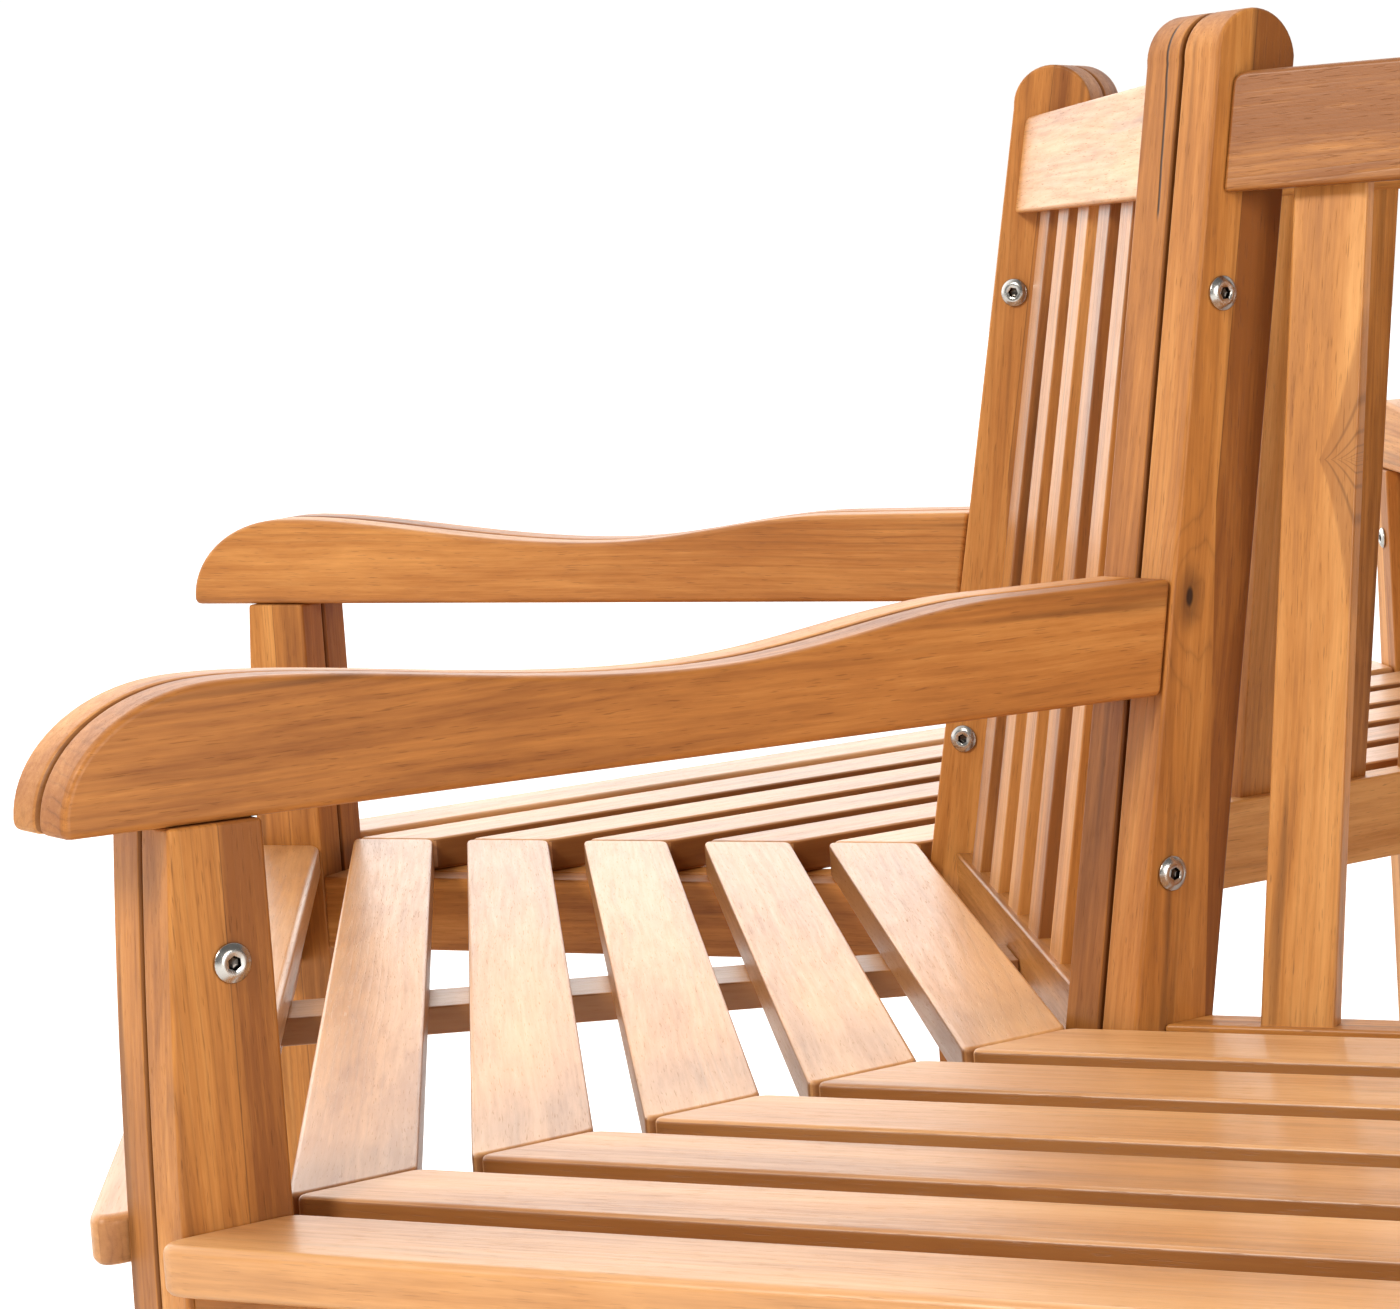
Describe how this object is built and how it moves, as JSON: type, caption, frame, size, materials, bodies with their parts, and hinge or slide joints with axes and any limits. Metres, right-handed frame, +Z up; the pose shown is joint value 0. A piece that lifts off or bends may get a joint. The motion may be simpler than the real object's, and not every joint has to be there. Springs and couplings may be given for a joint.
{
  "type": "garden bench",
  "caption": "Wrap-around teak garden bench: outward-facing slatted sections with armrests, bolted into a ring around a tree",
  "frame": {"origin": "On the ground, at the centre of the ring", "axes": "+Z up; section a faces -Y; X runs through two opposite corners of the ring"},
  "size_m": [2.247, 1.9692, 0.918],
  "materials": {
    "frame_teak": "satin",
    "arm_teak": "satin",
    "seat_teak": "satin",
    "back_teak": "satin",
    "apron_teak": "satin",
    "stainless": "satin"
  },
  "bodies": {
    "root": {"end_frame_left_a": "frame_teak", "armrest_left_a": "arm_teak", "end_frame_right_a": "frame_teak", "armrest_right_a": "arm_teak", "seat_a": "seat_teak", "apron_a": "apron_teak", "back_a": "back_teak", "bolt_leg_a": "stainless", "bolt_post_lower_a": "stainless", "bolt_post_upper_a": "stainless", "end_frame_left_b": "frame_teak", "armrest_left_b": "arm_teak", "end_frame_right_b": "frame_teak", "armrest_right_b": "arm_teak", "seat_b": "seat_teak", "apron_b": "apron_teak", "back_b": "back_teak", "bolt_leg_b": "stainless", "bolt_post_lower_b": "stainless", "bolt_post_upper_b": "stainless", "end_frame_left_c": "frame_teak", "armrest_left_c": "arm_teak", "end_frame_right_c": "frame_teak", "armrest_right_c": "arm_teak", "seat_c": "seat_teak", "apron_c": "apron_teak", "back_c": "back_teak", "bolt_leg_c": "stainless", "bolt_post_lower_c": "stainless", "bolt_post_upper_c": "stainless", "end_frame_left_d": "frame_teak", "armrest_left_d": "arm_teak", "end_frame_right_d": "frame_teak", "armrest_right_d": "arm_teak", "seat_d": "seat_teak", "apron_d": "apron_teak", "back_d": "back_teak", "bolt_leg_d": "stainless", "bolt_post_lower_d": "stainless", "bolt_post_upper_d": "stainless", "end_frame_left_e": "frame_teak", "armrest_left_e": "arm_teak", "end_frame_right_e": "frame_teak", "armrest_right_e": "arm_teak", "seat_e": "seat_teak", "apron_e": "apron_teak", "back_e": "back_teak", "bolt_leg_e": "stainless", "bolt_post_lower_e": "stainless", "bolt_post_upper_e": "stainless", "end_frame_left_f": "frame_teak", "armrest_left_f": "arm_teak", "end_frame_right_f": "frame_teak", "armrest_right_f": "arm_teak", "seat_f": "seat_teak", "apron_f": "apron_teak", "back_f": "back_teak", "bolt_leg_f": "stainless", "bolt_post_lower_f": "stainless", "bolt_post_upper_f": "stainless"}
  },
  "joints": []
}
